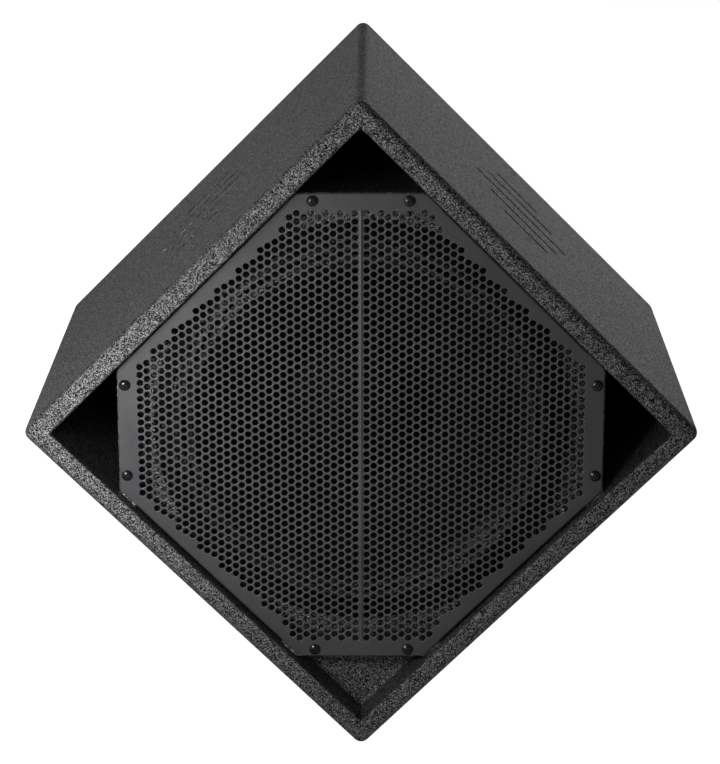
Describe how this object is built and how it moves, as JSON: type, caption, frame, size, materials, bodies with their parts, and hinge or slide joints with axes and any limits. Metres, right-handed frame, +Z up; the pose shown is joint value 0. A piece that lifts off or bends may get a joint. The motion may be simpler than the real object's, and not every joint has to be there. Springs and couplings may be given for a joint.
{
  "type": "stage monitor loudspeaker",
  "caption": "Cube-form stage monitor loudspeaker: large woofer behind an octagonal perforated grille, open triangular corner ports, rear connection plate, rubber feet.",
  "frame": {"origin": "on the floor under the middle of the cabinet, at the underside of the rubber feet", "axes": "+Z up, the open front with its grille faces -Y, the connection plate faces +Y, +X to the right seen from the front"},
  "size_m": [0.456, 0.457, 0.464],
  "materials": {
    "coated_plywood": "birch plywood sprayed with a black grained polyurea coat",
    "bare_plywood": "bare birch plywood",
    "wadding": "grey polyester wadding",
    "grille_paint": "satin black powder coat",
    "black_screw": "black oxide steel",
    "cast_basket": "cast aluminium, black enamel",
    "gasket_cork": "black pressed gasket",
    "foam_seal": "closed-cell foam strip",
    "surround_cloth": "doped corrugated cloth",
    "cone_paper": "black pressed paper pulp",
    "cap_paper": "black pressed paper, smooth",
    "former_film": "amber film",
    "copper_winding": "enamelled copper wire",
    "spider_cloth": "impregnated cotton",
    "zinc_steel": "zinc plated steel",
    "ferrite": "sintered ferrite",
    "black_plastic": "glass-filled nylon",
    "brass": "plain brass",
    "braided_copper": "braided copper",
    "plate_paint": "black powder coat",
    "wire_red": "red insulation",
    "wire_black": "black insulation",
    "foot_rubber": "moulded rubber"
  },
  "bodies": {
    "cabinet": {"baffle": "coated_plywood", "basket_screws": "black_screw", "bottom_panel": "coated_plywood", "brace_board": "bare_plywood", "connection_plate": "plate_paint", "driver_basket": "cast_basket", "driver_bolts": "black_screw", "driver_gasket": "gasket_cork", "driver_seal": "foam_seal", "driver_tee_nuts": "zinc_steel", "foot_left_front": "foot_rubber", "foot_left_rear": "foot_rubber", "foot_right_front": "foot_rubber", "foot_right_rear": "foot_rubber", "foot_screws": "black_screw", "foot_washers": "zinc_steel", "grille": "grille_paint", "grille_rail": "coated_plywood", "grille_screws": "black_screw", "left_panel": "coated_plywood", "link_wires": "wire_black", "magnet": "ferrite", "plate_screws": "black_screw", "plate_seal": "foam_seal", "port_board_lower_left": "coated_plywood", "port_board_upper_left": "coated_plywood", "port_board_upper_right": "coated_plywood", "rear_panel": "coated_plywood", "right_panel": "coated_plywood", "socket_in": "black_plastic", "socket_link": "black_plastic", "socket_lugs": "brass", "socket_screws": "black_screw", "speaker_wire_minus": "wire_black", "speaker_wire_plus": "wire_red", "spider": "spider_cloth", "surround": "surround_cloth", "terminal_strip": "black_plastic", "terminal_tabs": "brass", "tinsel_leads": "braided_copper", "top_panel": "coated_plywood", "top_plate": "zinc_steel", "wadding_bottom": "wadding", "wadding_left": "wadding", "wadding_rear": "wadding", "wadding_right": "wadding", "wadding_top": "wadding", "yoke": "zinc_steel"},
    "cone_assembly": {"cone": "cone_paper", "dust_cap": "cap_paper", "coil_former": "former_film", "voice_coil": "copper_winding"}
  },
  "joints": [
    {"name": "cone_travel", "type": "slide", "parent": "cabinet", "child": "cone_assembly", "axis": [0, -1, 0], "range_m": [-0.008, 0.008], "stiffness_N_per_m": 5500, "deforming": ["surround", "spider", "tinsel_leads"]}
  ]
}
